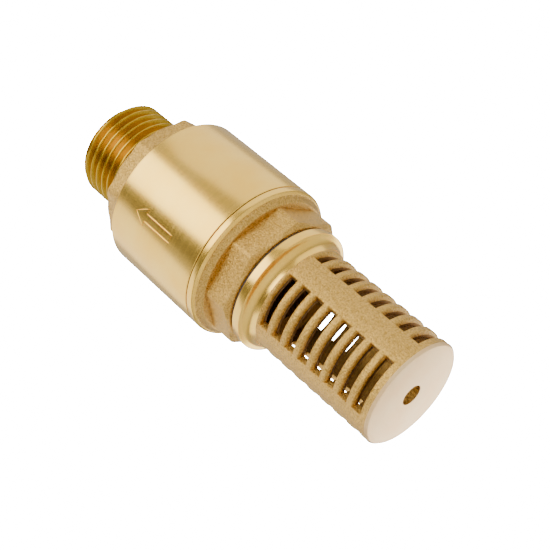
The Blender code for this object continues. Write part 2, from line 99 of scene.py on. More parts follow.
def turned_coordinates(nodes, links):
    """Radius and height in place of x, y, z: any pattern becomes rings."""
    where = nodes.new("ShaderNodeTexCoord")
    split = nodes.new("ShaderNodeSeparateXYZ")
    flat = nodes.new("ShaderNodeCombineXYZ")
    length = nodes.new("ShaderNodeVectorMath")
    length.operation = "LENGTH"
    rings = nodes.new("ShaderNodeCombineXYZ")
    links.new(where.outputs["Object"], split.inputs[0])
    links.new(split.outputs["X"], flat.inputs["X"])
    links.new(split.outputs["Y"], flat.inputs["Y"])
    links.new(flat.outputs[0], length.inputs[0])
    links.new(length.outputs["Value"], rings.inputs["X"])
    links.new(split.outputs["Z"], rings.inputs["Z"])
    return rings.outputs[0]


def plain_coordinates(nodes, links):
    return nodes.new("ShaderNodeTexCoord").outputs["Object"]


def noise(nodes, links, vector, scale):
    made = nodes.new("ShaderNodeTexNoise")
    made.inputs["Scale"].default_value = scale
    made.inputs["Detail"].default_value = 3.0
    links.new(vector, made.inputs["Vector"])
    return made.outputs["Fac"]


def between(nodes, links, factor, low, high, start=0.35, end=0.65):
    """A number that runs from low to high as the pattern runs from start to end."""
    made = nodes.new("ShaderNodeMapRange")
    for socket, value in zip(("From Min", "From Max", "To Min", "To Max"), (start, end, low, high)):
        made.inputs[socket].default_value = value
    links.new(factor, made.inputs["Value"])
    return made.outputs["Result"]


def tint(nodes, links, factor, first, second):
    ramp = nodes.new("ShaderNodeValToRGB")
    ramp.color_ramp.elements[0].position, ramp.color_ramp.elements[1].position = 0.32, 0.68
    ramp.color_ramp.elements[0].color = (*first, 1.0)
    ramp.color_ramp.elements[1].color = (*second, 1.0)
    links.new(factor, ramp.inputs["Fac"])
    return ramp.outputs["Color"]


def worked_finish(name, colours, roughness, grain, height, coordinates, metallic=1.0, sandy=False):
    """A finish from two colours, a pair of roughnesses and the scale and height of its grain.
    On a sandy finish the colours follow the fine grain, and elsewhere they follow broad clouds."""
    made, nodes, links, shader = new_finish(name)
    vector = coordinates(nodes, links)
    broad = noise(nodes, links, plain_coordinates(nodes, links), 180.0)
    fine = noise(nodes, links, vector, grain)
    links.new(tint(nodes, links, fine if sandy else broad, *colours), shader.inputs["Base Color"])
    links.new(between(nodes, links, fine, *roughness), shader.inputs["Roughness"])
    bump = nodes.new("ShaderNodeBump")
    bump.inputs["Strength"].default_value = 1.0
    bump.inputs["Distance"].default_value = height
    links.new(fine, bump.inputs["Height"])
    links.new(bump.outputs["Normal"], shader.inputs["Normal"])
    shader.inputs["Metallic"].default_value = metallic
    return made


# %% The finishes themselves
RINGS, PLAIN = turned_coordinates, plain_coordinates
turned_brass = worked_finish("turned_brass", ((0.93, 0.56, 0.085), (0.95, 0.60, 0.115)),
                             (0.20, 0.27), 2600.0, 0.000002, RINGS)
thread_brass = worked_finish("cut_thread_brass", ((0.44, 0.26, 0.012), (0.56, 0.34, 0.03)),
                             (0.24, 0.34), 2600.0, 0.000004, RINGS)
cast_brass = worked_finish("sand_cast_brass", ((0.47, 0.265, 0.045), (0.78, 0.485, 0.12)),
                           (0.28, 0.44), 3100.0, 0.00022, PLAIN, sandy=True)
faced_brass = worked_finish("faced_brass", ((0.98, 0.63, 0.28), (0.99, 0.69, 0.34)),
                            (0.30, 0.38), 3200.0, 0.000004, RINGS)
# The bore finish is a dark brown laid on the insides and hidden joint faces as painted shade.
bore_brass_painted_shade = worked_finish("bore_brass_with_painted_shade", ((0.32, 0.17, 0.035), (0.42, 0.24, 0.06)),
                            (0.40, 0.52), 1500.0, 0.00002, PLAIN)
steel = worked_finish("drawn_stainless", ((0.55, 0.55, 0.56), (0.66, 0.66, 0.67)),
                      (0.22, 0.32), 3000.0, 0.000003, PLAIN)
rubber = worked_finish("black_rubber", ((0.018, 0.018, 0.02), (0.035, 0.035, 0.037)),
                       (0.55, 0.72), 2200.0, 0.00001, PLAIN, metallic=0.0)
fibre = worked_finish("fibre_gasket", ((0.09, 0.06, 0.04), (0.17, 0.12, 0.08)),
                      (0.75, 0.9), 3000.0, 0.00003, PLAIN, metallic=0.0)
polymer = worked_finish("guide_polymer", ((0.74, 0.73, 0.67), (0.80, 0.79, 0.74)),
                        (0.38, 0.48), 1500.0, 0.000005, PLAIN, metallic=0.0)
print("finishes", len(bpy.data.materials))

# %% [markdown]
# ## Turning an outline
# A lathe makes a part from one outline, and so does this helper. Each point of the outline is a
# radius, a height and the kind of surface. A wrench octagon and a thread are then only rules for
# the radius at an angle, so they stay part of the same closed skin, with no seams between them.

# %% Radius rules
def polygon_radius(angle, sides, flat, turn=0.0, power=180.0):
    """A polygon's radius at an angle, from its flats' distance. A high power keeps corners crisp."""
    total = 0.0
    for side in range(sides):
        along = math.cos(angle - turn - (side + 0.5) * 2.0 * math.pi / sides)
        total += max(along, 0.0) ** power
    return flat / total ** (1.0 / power)


def thread_radius(angle, z):
    """A right-handed thread with round crests and roots, 55 degrees between the flanks."""
    phase = (z / PITCH - angle / (2.0 * math.pi)) % 1.0
    wave = abs(2.0 * phase - 1.0)
    sharp = min(max((wave - 0.14) / 0.72, 0.0), 1.0)
    return MAJOR - DEPTH * (0.35 * (3.0 * sharp ** 2 - 2.0 * sharp ** 3) + 0.65 * sharp)


THREAD_GAP, NO_LIMIT, NUT_FLAT = 0.0002, 1.0, 0.00275
OUTER_RULES = {
    "round": lambda angle, z: NO_LIMIT,
    "outlet_octagon": lambda angle, z: polygon_radius(angle, 8, FLAT, math.radians(11.0)),
    "inlet_octagon": lambda angle, z: polygon_radius(angle, 8, FLAT),
    "nut_hexagon": lambda angle, z: polygon_radius(angle, 6, NUT_FLAT),
    "thread": thread_radius,
}


def reach(kind, angle, z, limit):
    """The radius of one point. A socket's thread is cut outwards, and all else is cut inwards."""
    if kind == "socket":
        return max(limit, thread_radius(angle, z) + THREAD_GAP)
    return min(limit, OUTER_RULES[kind](angle, z))


# %% The turning helper
def softened(outline, radius, steps=3):
    """Cuts every corner of an outline of (radius, height, kind) with a small arc."""
    made = []
    count = len(outline)
    for i, (r, z, kind) in enumerate(outline):
        here = Vector((r, z))
        before = Vector(outline[i - 1][:2]) - here
        after = Vector(outline[(i + 1) % count][:2]) - here
        if kind in ("thread", "socket") or min(before.length, after.length) < 1e-6 or r == 0.0:
            made.append((r, z, kind))
            continue
        if abs(before.normalized().cross(after.normalized())) < 0.12:
            made.append((r, z, kind))
            continue
        cut = min(radius, before.length * 0.4, after.length * 0.4)
        first, last = here + before.normalized() * cut, here + after.normalized() * cut
        for step in range(steps + 1):
            t = step / steps
            point = first * (1 - t) ** 2 + here * 2 * t * (1 - t) + last * t ** 2
            made.append((point.x, point.y, kind))
    return made


def turned_piece(name, outline, finishes, choose=None, segments=SEGMENTS):
    """A closed skin from a closed outline. Two rows at radius 0 are a pole, and need no faces."""
    points, faces = [], []
    for r, z, kind in outline:
        for i in range(segments):
            angle = 2.0 * math.pi * i / segments
            radius = reach(kind, angle, z, r)
            points.append((radius * math.cos(angle), radius * math.sin(angle), z))
    rows = len(outline)
    for row in range(rows):
        below = (row + 1) % rows
        if outline[row][0] == outline[below][0] == 0.0:
            continue
        for i in range(segments):
            j = (i + 1) % segments
            faces.append((row * segments + i, row * segments + j, below * segments + j,
                          below * segments + i))
    mesh = bpy.data.meshes.new(name)
    mesh.from_pydata(points, [], faces)
    return finished(name, mesh, finishes, choose)


def finished(name, mesh, finishes, choose=None):
    """Points the faces outwards, shades them and gives each one its finish. choose(radius, z,
    normal) gives the finish by its number."""
    work = bmesh.new()
    work.from_mesh(mesh)
    bmesh.ops.remove_doubles(work, verts=work.verts, dist=1e-7)
    bmesh.ops.recalc_face_normals(work, faces=work.faces)
    work.to_mesh(mesh)
    work.free()
    mesh.materials.clear()
    for item in finishes:
        mesh.materials.append(item)
    for face in mesh.polygons:
        centre = face.center
        face.material_index = choose(centre.xy.length, centre.z, face.normal) if choose else 0
    mesh.shade_smooth()
    mesh.set_sharp_from_angle(angle=math.radians(32.0))
    piece = bpy.data.objects.new(name, mesh)
    bpy.context.scene.collection.objects.link(piece)
    print(name, len(mesh.polygons), "faces")
    return piece


def stands_for(piece, node, body):
    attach(piece, body)
    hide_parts(node)


# %% [markdown]
# ## Geometry Nodes helpers
# Three things here repeat or follow a path: the slots of the strainer, the wire of the spring and
# the engraved line of the arrow. Each has its own small tree. The result is baked to a plain mesh.

# %% Tree helpers
def new_tree(name, inputs):
    tree = bpy.data.node_groups.new(name, "GeometryNodeTree")
    tree.interface.new_socket("Geometry", in_out="INPUT", socket_type="NodeSocketGeometry")
    for label, kind in inputs:
        tree.interface.new_socket(label, in_out="INPUT", socket_type=kind)
    tree.interface.new_socket("Geometry", in_out="OUTPUT", socket_type="NodeSocketGeometry")
    return tree, tree.nodes.new("NodeGroupInput"), tree.nodes.new("NodeGroupOutput")


def close_tree(tree, geometry, output, material_socket):
    """Ends a tree in Realize Instances and Set Material."""
    real = tree.nodes.new("GeometryNodeRealizeInstances")
    paint = tree.nodes.new("GeometryNodeSetMaterial")
    tree.links.new(geometry, real.inputs[0])
    tree.links.new(real.outputs[0], paint.inputs["Geometry"])
    tree.links.new(material_socket, paint.inputs["Material"])
    tree.links.new(paint.outputs[0], output.inputs[0])


def baked(holder, tree, values):
    """Runs a tree on an object and gives the plain mesh that comes out."""
    step = holder.modifiers.new("nodes", "NODES")
    step.node_group = tree
    for item in tree.interface.items_tree:
        if item.in_out == "INPUT" and item.name in values:
            step[item.identifier] = values[item.name]
    ready = bpy.context.evaluated_depsgraph_get()
    ready.update()
    mesh = bpy.data.meshes.new_from_object(holder.evaluated_get(ready))
    holder.modifiers.remove(step)
    return mesh


def loose_object(name, points, faces, edges=()):
    mesh = bpy.data.meshes.new(name)
    mesh.from_pydata(points, list(edges), faces)
    work = bmesh.new()
    work.from_mesh(mesh)
    bmesh.ops.recalc_face_normals(work, faces=work.faces)
    work.to_mesh(mesh)
    work.free()
    made = bpy.data.objects.new(name, mesh)
    bpy.context.scene.collection.objects.link(made)
    return made


# %% [markdown]
# ## The body
# The body is one casting. Its outlet is a half inch pipe thread, then comes an octagon for the
# spanner, left as cast, and then the barrel, which is turned smooth. Inside, the outlet's bore
# steps out to the seat of the guide and then opens into the chamber of the disc. The body could be
# put together from cylinders, but one outline leaves no seams. The thread needs close rows, so a
# loop fills its part.

# %% Thread rows
ROWS_PER_TURN = 18
LEAD_CHAMFER, RUNOUT_SLOPE = 0.0009, 1.6


def thread_rows(low, high):
    """The rows of an outer thread, chamfered at its upper end and run out at its lower end."""
    count = int((high - low) / PITCH * ROWS_PER_TURN)
    rows = []
    for i in range(count + 1):
        z = low + (high - low) * i / count
        cap = min(MAJOR, MAJOR - LEAD_CHAMFER + (high - z))
        cap = min(cap, MAJOR - DEPTH + (z - low) * RUNOUT_SLOPE)
        rows.append((cap, z, "thread"))
    return rows


# %% Body outline
SPIGOT_ROOT, PLAIN_BORE = 0.01365, 0.0146
body_outline = softened([
    (PLAIN_BORE, JOINT, "round"), (BARREL, JOINT, "round"), (BARREL, BARREL_TOP, "round"),
    (0.01425, BARREL_TOP, "round"), (0.01425, BARREL_TOP + 0.00001, "outlet_octagon"),
    (CORNER, SHOULDER - 0.0007, "outlet_octagon"), (0.0132, SHOULDER, "outlet_octagon"),
    (NECK, SHOULDER, "round"), (NECK, SHOULDER + 0.0012, "round")], 0.00025)
body_outline += thread_rows(SHOULDER + 0.0012, 0.0)
body_outline += softened([
    (OUTLET_BORE, 0.0, "round"), (OUTLET_BORE, GUIDE_TOP, "round"), (0.0095, GUIDE_TOP, "round"),
    (0.0095, GUIDE_LOW, "round"), (0.0130, CHAMBER_TOP, "round"), (0.0130, CHAMBER_LOW, "round"),
    (SPIGOT_ROOT, CHAMBER_LOW, "round"), (SPIGOT_ROOT, JOINT + 0.0022, "round"),
    (PLAIN_BORE, JOINT + 0.0022, "round")], 0.00012)


def body_face(radius, z, normal):
    """0 is turned, 1 is the cut thread, 2 is as cast and 3 is the bore, darkened as painted shade.
    """
    if normal.z > 0.5 and radius > 0.0130 and abs(z - BARREL_TOP) < 0.0006:
        return 0
    if radius < OUTLET_BORE + 0.0001 or z < -0.0001 and radius < 0.0092:
        return 3
    if z > SHOULDER + 0.0001:
        return 1 if radius > 0.0092 or normal.z < 0.7 else 0
    if z > BARREL_TOP + 0.00002 and radius > 0.0093:
        return 2
    return 0 if radius > 0.0140 else 3


body_core = turned_piece("body_core", body_outline, [turned_brass])

# %% [markdown]
# ## The flow arrow
# A thin line cut into the barrel shows which way the water goes. It is an outline arrow with a
# straight tail. A bump could fake it, but a real groove also shows in the exported mesh. So a path
# is laid on the cylinder, swept with a small round section, and cut out.

# %% Arrow path
ARROW_TURN, ARROW_LINE, POINTS_PER_SIDE = math.radians(244.3), 0.0001, 6


def on_barrel(side, z):
    angle = ARROW_TURN - side / BARREL
    return (BARREL * math.cos(angle), BARREL * math.sin(angle), z)


arrow = [(0.0, -0.0243), (0.0019, -0.0271), (0.0008, -0.0271), (0.0008, -0.0345),
         (-0.0008, -0.0345), (-0.0008, -0.0271), (-0.0019, -0.0271), (0.0, -0.0243)]
path = []
for (a, b), (c, d) in zip(arrow, arrow[1:]):
    for step in range(POINTS_PER_SIDE):
        path.append(on_barrel(a + (c - a) * step / POINTS_PER_SIDE,
                              b + (d - b) * step / POINTS_PER_SIDE))
arrow_path = loose_object("arrow_path", path, [],
                          [(i, (i + 1) % len(path)) for i in range(len(path))])

print("arrow", len(path), "points")

# %% Engraving the arrow
engrave, start, end = new_tree("engrave_path", [
    ("Path", "NodeSocketObject"), ("Line radius", "NodeSocketFloat"),
    ("Finish", "NodeSocketMaterial")])
bring = engrave.nodes.new("GeometryNodeObjectInfo")
to_curve = engrave.nodes.new("GeometryNodeMeshToCurve")
sweep = engrave.nodes.new("GeometryNodeCurveToMesh")
section = engrave.nodes.new("GeometryNodeCurvePrimitiveCircle")
section.inputs["Resolution"].default_value = 8
cut = engrave.nodes.new("GeometryNodeMeshBoolean")
cut.operation, cut.solver = "DIFFERENCE", "EXACT"
engrave.links.new(start.outputs["Path"], bring.inputs["Object"])
engrave.links.new(bring.outputs["Geometry"], to_curve.inputs["Mesh"])
engrave.links.new(start.outputs["Line radius"], section.inputs["Radius"])
engrave.links.new(to_curve.outputs[0], sweep.inputs["Curve"])
engrave.links.new(section.outputs["Curve"], sweep.inputs["Profile Curve"])
engrave.links.new(start.outputs["Geometry"], cut.inputs["Mesh 1"])
engrave.links.new(sweep.outputs[0], cut.inputs["Mesh 2"])
close_tree(engrave, cut.outputs["Mesh"], end, start.outputs["Finish"])
body_mesh = baked(body_core, engrave, {"Path": arrow_path, "Line radius": ARROW_LINE,
                                       "Finish": turned_brass})
bpy.data.objects.remove(body_core)
bpy.data.objects.remove(arrow_path)
body_casting = finished("body_casting", body_mesh,
                        [turned_brass, thread_brass, cast_brass, bore_brass_painted_shade], body_face)
stands_for(body_casting, "valve_body", "housing")

# %% [markdown]
# ## The inlet connector
# It screws into the body up to the fine joint line near the barrel's lower edge. Its rim is turned
# flush with the barrel, and the cone and the octagon under it are left as cast. Inside are the
# seat lip of the valve and the socket for the strainer. The socket could be a plain bore, but the
# strainer unscrews out of it, so it has a real thread in step with the strainer's, one small gap
# wider.

# %% Connector
SEAT, FLOOR, SPIGOT = JOINT + 0.0046, JOINT + 0.0038, JOINT + 0.0068
SOCKET_BORE, SOCKET_MOUTH, SOCKET_TOP = 0.00963, 0.0109, INLET + 0.0094
SEAT_BORE, SEAT_LIP = 0.00775, 0.00885
connector_outline = softened([
    (SOCKET_MOUTH, INLET, "round"), (0.0131, INLET, "inlet_octagon"),
    (CORNER, INLET + 0.0009, "inlet_octagon"), (CORNER, RIM - 0.0013, "inlet_octagon"),
    (0.0149, RIM - 0.00129, "round"), (0.0156, RIM - 0.0002, "round"), (0.0161, RIM, "round"),
    (BARREL, RIM + 0.0004, "round"), (BARREL, JOINT - 0.00012, "round"),
    (0.0129, JOINT - 0.00012, "round"), (0.0129, JOINT + 0.0022, "round"),
    (0.0136, JOINT + 0.0028, "round"), (0.0136, SPIGOT - 0.0005, "round"),
    (0.0131, SPIGOT, "round"), (0.0121, SPIGOT, "round"), (0.0121, FLOOR, "round"),
    (SEAT_LIP, FLOOR, "round"), (SEAT_LIP, SEAT, "round"), (SEAT_BORE, SEAT, "round"),
    (SEAT_BORE, SOCKET_TOP + 0.0001, "round"), (SOCKET_BORE, SOCKET_TOP + 0.0001, "round")],
    0.00028)
socket_steps = int((SOCKET_TOP - INLET) / PITCH * ROWS_PER_TURN)
for i in range(socket_steps):
    z = SOCKET_TOP - (SOCKET_TOP - INLET) * i / socket_steps
    connector_outline.append((max(SOCKET_BORE, SOCKET_MOUTH - (z - INLET)), z, "socket"))


def connector_face(radius, z, normal):
    """0 is turned, 1 is as cast and 2 is the bore and the joint's hidden faces, darkened as painted
    shade.
    """
    if z > RIM - 0.0001 and radius > 0.0150:
        return 0
    if radius < 0.0126 and normal.z > -0.7 or z > JOINT - 0.00013:
        return 2
    return 1


connector_casting = turned_piece("connector_casting", connector_outline,
                                 [turned_brass, cast_brass, bore_brass_painted_shade], connector_face)
stands_for(connector_casting, "inlet_connector", "housing")

# %% [markdown]
# ## The strainer
# A threaded spigot, a turned flange and a fillet lead into a cast cage. Its slots lie in four
# columns with a plain band between them. Each slot has a wide mouth and a narrow throat, so that
# the casting leaves its mould, and the ribs come out with rounded backs. The ribs could be built
# one by one, but slots cut from a turned blank leave one closed casting.

# %% Strainer blank
COLLAR, COLLAR_STEP, FILLET_HEIGHT, FILLET_STEPS = 0.0128, 0.0016, 0.0023, 8
FLANGE, FLANGE_HEIGHT = 0.0133, 0.0018
INNER, HOLE, SPIGOT_BORE, END_WALL = CAGE - WALL, 0.00215, 0.0076, 0.0019
fillet = []
for i in range(FILLET_STEPS + 1):
    angle = math.pi / 2.0 * i / FILLET_STEPS
    fillet.append((COLLAR - COLLAR_STEP * math.cos(angle),
                   CAGE_TOP + FILLET_HEIGHT * math.sin(angle), "round"))
strainer_outline = softened([
    (HOLE, END, "round"), (CAGE - 0.0005, END, "round"), (CAGE, END + 0.0005, "round")], 0.0001)
strainer_outline += fillet
strainer_outline += softened([
    (FLANGE, FLANGE_TOP - FLANGE_HEIGHT, "round"), (FLANGE, FLANGE_TOP, "round"),
    (NECK, FLANGE_TOP, "round"), (NECK, FLANGE_TOP + 0.0010, "round")], 0.00015)
SPIGOT_TOP = FLANGE_TOP + 0.0085
strainer_outline += thread_rows(FLANGE_TOP + 0.0010, SPIGOT_TOP)
strainer_outline += softened([
    (SPIGOT_BORE, SPIGOT_TOP, "round"), (SPIGOT_BORE, FLANGE_TOP - 0.0009, "round"),
    (INNER, FLANGE_TOP - 0.0030, "round"), (INNER, END + END_WALL, "round"),
    (HOLE, END + END_WALL, "round")], 0.0002)
strainer_blank = turned_piece("strainer_blank", strainer_outline, [cast_brass])

# %% [markdown]
# ## The slots
# One slot is drawn as a curved wedge: its section swells towards the mouth, and so do its ends.
# Each row of its section gives a depth from the cage's skin, half the slot's height there, and
# half the angle that it spans. The tree copies it down a column, copies the column round the cage,
# and cuts all of them at once.

# %% One slot
SLOT_SECTION = [(-0.0021, 0.00068, 0.500), (-0.0015, 0.00072, 0.505), (-0.0008, 0.00078, 0.512),
                (-0.0005, 0.00088, 0.517), (-0.00025, 0.00102, 0.522), (-0.00008, 0.00116, 0.525),
                (0.0, 0.00130, 0.530), (0.0005, 0.00180, 0.545)]
SLOT_STEPS, SLOT_TURN = 14, math.radians(-18.0)
SLOT_ROWS, SLOT_COLUMNS, SLOT_PITCH = 8, 4, 0.00347
first_slot = CAGE_TOP - 0.0004 - 0.00247 / 2.0
points, faces = [], []
section_loop = [(CAGE + r, half, span) for r, half, span in SLOT_SECTION]
section_loop += [(CAGE + r, -half, span) for r, half, span in reversed(SLOT_SECTION)]
size = len(section_loop)
for step in range(SLOT_STEPS + 1):
    share = 2.0 * step / SLOT_STEPS - 1.0
    for r, z, span in section_loop:
        angle = SLOT_TURN + share * span
        points.append((r * math.cos(angle), r * math.sin(angle), first_slot + z))
for step in range(SLOT_STEPS):
    for k in range(size):
        a, b = step * size + k, step * size + (k + 1) % size
        faces.append((a, b, b + size, a + size))
half_size = len(SLOT_SECTION)
for base in (0, SLOT_STEPS * size):
    for k in range(half_size - 1):
        faces.append((base + k, base + k + 1, base + size - 2 - k, base + size - 1 - k))
slot_wedge = loose_object("slot_wedge", points, faces)
print("slot wedge", len(faces), "faces, cut", SLOT_ROWS * SLOT_COLUMNS, "times")

# %% The slot tree
slots, start, end = new_tree("strainer_slots", [
    ("Slot", "NodeSocketObject"), ("Rows", "NodeSocketInt"), ("Columns", "NodeSocketInt"),
    ("Pitch", "NodeSocketFloat"), ("Finish", "NodeSocketMaterial")])
bring = slots.nodes.new("GeometryNodeObjectInfo")
down = slots.nodes.new("GeometryNodeMeshLine")
step_down = slots.nodes.new("ShaderNodeCombineXYZ")
negative = slots.nodes.new("ShaderNodeMath")
negative.operation = "MULTIPLY"
negative.inputs[1].default_value = -1.0
column = slots.nodes.new("GeometryNodeInstanceOnPoints")
around = slots.nodes.new("GeometryNodeMeshLine")
around.inputs["Offset"].default_value = (0.0, 0.0, 0.0)
which = slots.nodes.new("GeometryNodeInputIndex")
share = slots.nodes.new("ShaderNodeMath")
share.operation = "DIVIDE"
full = slots.nodes.new("ShaderNodeMath")
full.operation = "MULTIPLY"
full.inputs[1].default_value = 2.0 * math.pi
turn = slots.nodes.new("ShaderNodeCombineXYZ")
ring = slots.nodes.new("GeometryNodeInstanceOnPoints")
solid = slots.nodes.new("GeometryNodeRealizeInstances")
cut = slots.nodes.new("GeometryNodeMeshBoolean")
cut.operation, cut.solver = "DIFFERENCE", "EXACT"
wires = [(start.outputs["Slot"], bring.inputs["Object"]),
         (start.outputs["Rows"], down.inputs["Count"]),
         (start.outputs["Pitch"], negative.inputs[0]), (negative.outputs[0], step_down.inputs["Z"]),
         (step_down.outputs[0], down.inputs["Offset"]), (down.outputs[0], column.inputs["Points"]),
         (bring.outputs["Geometry"], column.inputs["Instance"]),
         (start.outputs["Columns"], around.inputs["Count"]), (which.outputs[0], share.inputs[0]),
         (start.outputs["Columns"], share.inputs[1]), (share.outputs[0], full.inputs[0]),
         (full.outputs[0], turn.inputs["Z"]), (around.outputs[0], ring.inputs["Points"]),
         (column.outputs[0], ring.inputs["Instance"]), (turn.outputs[0], ring.inputs["Rotation"]),
         (ring.outputs[0], solid.inputs[0]), (start.outputs["Geometry"], cut.inputs["Mesh 1"]),
         (solid.outputs[0], cut.inputs["Mesh 2"])]
for source, target in wires:
    slots.links.new(source, target)
close_tree(slots, cut.outputs["Mesh"], end, start.outputs["Finish"])
strainer_mesh = baked(strainer_blank, slots, {
    "Slot": slot_wedge, "Rows": SLOT_ROWS, "Columns": SLOT_COLUMNS, "Pitch": SLOT_PITCH,
    "Finish": cast_brass})
bpy.data.objects.remove(strainer_blank)
bpy.data.objects.remove(slot_wedge)


def strainer_face(radius, z, normal):
    """0 is as cast, 1 is turned, 2 is the cut thread, 3 is the bore, darkened as painted shade, and
    4 is the faced end.
    """
    if z > FLANGE_TOP + 0.0001:
        return 2 if radius > NECK - 0.0003 else 3
    if z < END + 0.00055 and normal.z < -0.2:
        return 4
    if z > CAGE_TOP + 0.0001 and radius > 0.0110:
        return 1
    return 3 if radius < INNER + 0.0002 and z > END + 0.0015 else 0


strainer_casting = finished("strainer_casting", strainer_mesh,
                            [cast_brass, turned_brass, thread_brass, bore_brass_painted_shade, faced_brass],
                            strainer_face)
stands_for(strainer_casting, "strainer", "strainer")

# %% [markdown]
# ## The spring
# The closing spring pushes the disc on to its seat. It is a round wire on a spiral path, with one
# closed turn at each end. A Screw modifier could turn it, but not with closed ends, so the path is
# worked out and a tree sweeps a circle along it.

# %% Spring path
spring_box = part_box("valve_spring")
WIRE, COIL, TURNS, POINTS_PER_TURN = 0.0004, 0.0050, 5.5, 48
low, high = spring_box[0][2] + WIRE, spring_box[1][2] - WIRE
closed = 2.0 * WIRE + 0.00005
path = []
for i in range(int(TURNS * POINTS_PER_TURN) + 1):
    turn_now = i / POINTS_PER_TURN
    rise = min(max((turn_now - 1.0) / (TURNS - 2.0), 0.0), 1.0) * (high - low - 2.0 * closed)
    rise += closed * (min(turn_now, 1.0) + max(turn_now - TURNS + 1.0, 0.0))
    angle = 2.0 * math.pi * turn_now
    path.append((COIL * math.cos(angle), COIL * math.sin(angle), low + rise))
spring_path = loose_object("spring_path", path, [], [(i, i + 1) for i in range(len(path) - 1)])
print("spring path", len(path), "points")

# %% Spring wire
coil, start, end = new_tree("sweep_wire", [("Wire radius", "NodeSocketFloat"),
                                           ("Finish", "NodeSocketMaterial")])
to_curve = coil.nodes.new("GeometryNodeMeshToCurve")
sweep = coil.nodes.new("GeometryNodeCurveToMesh")
sweep.inputs["Fill Caps"].default_value = True
section = coil.nodes.new("GeometryNodeCurvePrimitiveCircle")
section.inputs["Resolution"].default_value = 14
coil.links.new(start.outputs["Geometry"], to_curve.inputs["Mesh"])
coil.links.new(start.outputs["Wire radius"], section.inputs["Radius"])
coil.links.new(to_curve.outputs[0], sweep.inputs["Curve"])
coil.links.new(section.outputs["Curve"], sweep.inputs["Profile Curve"])
close_tree(coil, sweep.outputs[0], end, start.outputs["Finish"])
spring_mesh = baked(spring_path, coil, {"Wire radius": WIRE, "Finish": steel})
bpy.data.objects.remove(spring_path)
spring_wire = finished("spring_wire", spring_mesh, [steel])
stands_for(spring_wire, "valve_spring", "housing")
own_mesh(spring_wire)

# %% [markdown]
# ## Small turned pieces
# The seal, the retainer, the bush, the O-ring and the gasket are all simple turned shapes. The
# packed ones have sharp edges and coarse facets. These take their heights from them, and get soft
# edges.

# %% Small turned pieces
def ring_outline(node, inner, outer):
    low_z, high_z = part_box(node)[0][2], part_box(node)[1][2]
    return [(inner, low_z, "round"), (outer, low_z, "round"), (outer, high_z, "round"),
            (inner, high_z, "round")]


STUD_HOLE = 0.0016


def small_ring(name, node, inner, outer, body, finish, soft):
    piece = turned_piece(name, softened(ring_outline(node, inner, outer), soft), [finish],
                         segments=144)
    stands_for(piece, node, body)


small_ring("gasket_ring", "strainer_gasket", 0.01068, 0.0129, "gasket", fibre,
           0.0001)
small_ring("seal_disc", "seat_seal", STUD_HOLE, 0.0103, "check", rubber, 0.0002)
small_ring("retainer_disc", "seal_retainer", STUD_HOLE, 0.0065, "check",
           turned_brass, 0.0002)

# %% Bush and O-ring
bush_low, bush_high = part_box("guide_bush")[0][2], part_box("guide_bush")[1][2]
bush = turned_piece("bush_sleeve", softened([
    (0.0021, bush_low, "round"), (0.0025, bush_low, "round"), (0.0025, bush_high - 0.0005, "round"),
    (0.0034, bush_high - 0.0005, "round"), (0.0034, bush_high, "round"),
    (0.0021, bush_high, "round")], 0.00012), [polymer], segments=120)
stands_for(bush, "guide_bush", "housing")
o_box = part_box("body_o_ring")
o_middle, o_wire = (o_box[0][2] + o_box[1][2]) / 2.0, (o_box[1][2] - o_box[0][2]) / 2.0
o_ring = turned_piece("o_ring", [
    (o_box[1][0] - o_wire + o_wire * math.cos(a), o_middle + o_wire * math.sin(a), "round")
    for a in (2.0 * math.pi * k / 20 for k in range(20))], [rubber], segments=160)
stands_for(o_ring, "body_o_ring", "housing")

# %% [markdown]
# ## The check disc and its nut
# The disc lifts off the seat to let water through. Its stem slides in the bush above, and its stud
# holds the seal, the retainer and the nut below. Both are turned like the rest. The disc is solid,
# so its outline starts and ends at radius 0. The nut's six flats are one more rule for the radius,
# and only its middle rows use it, which leaves the round chamfers of a real nut.

# %% Check disc and stem
disc_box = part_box("poppet")
STUD, STEM, DISC, SEAL_RECESS = 0.0015, 0.0020, 0.0112, 0.0104
stud_end, stem_top, disc_low = disc_box[0][2], disc_box[1][2], JOINT + 0.0062
disc = turned_piece("check_disc", softened([
    (0.0, stud_end, "round"), (STUD, stud_end, "round"), (STUD, disc_low, "round"),
    (SEAL_RECESS, disc_low, "round"), (SEAL_RECESS, disc_low - 0.0011, "round"),
    (DISC, disc_low - 0.0011, "round"), (DISC, disc_low + 0.0014, "round"),
    (0.0030, disc_low + 0.0014, "round"), (0.0030, disc_low + 0.0028, "round"),
    (STEM, disc_low + 0.0028, "round"), (STEM, stem_top - 0.0005, "round"),
    (0.0015, stem_top, "round"), (0.0, stem_top, "round")], 0.00015), [turned_brass],
    segments=120)
stands_for(disc, "poppet", "check")

# %% Nut
nut_low, nut_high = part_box("retainer_nut")[0][2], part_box("retainer_nut")[1][2]
NUT_CORNER, NUT_FACE, NUT_CHAMFER = 0.00318, 0.0027, 0.0003
nut = turned_piece("stud_nut", [
    (STUD_HOLE, nut_low, "round"), (NUT_FACE, nut_low, "round"),
    (NUT_CORNER, nut_low + NUT_CHAMFER, "nut_hexagon"),
    (NUT_CORNER, nut_high - NUT_CHAMFER, "nut_hexagon"), (NUT_FACE, nut_high, "round"),
    (STUD_HOLE, nut_high, "round")], [steel], segments=120)
stands_for(nut, "retainer_nut", "check")

# %% [markdown]
# ## Pieces that stay as packed
# The guide and the lock washer already have the right shape, so making them again would gain
# nothing. They only need their finish.

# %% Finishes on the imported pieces
for name, item in (("stem_guide", turned_brass), ("lock_washer", steel)):
    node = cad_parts[name]
    node.data.materials.clear()
    node.data.materials.append(item)
print("pieces on the valve", len(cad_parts))

# %% [markdown]
# ## Studio
# A pale floor well under the valve, a white backdrop, one broad light in front for the wide soft
# highlight down the barrel, and weaker ones for the sides and the end face. Polished metal shows
# what is round it, so the surround that it mirrors is dimmer, with one dark strip for contrast.

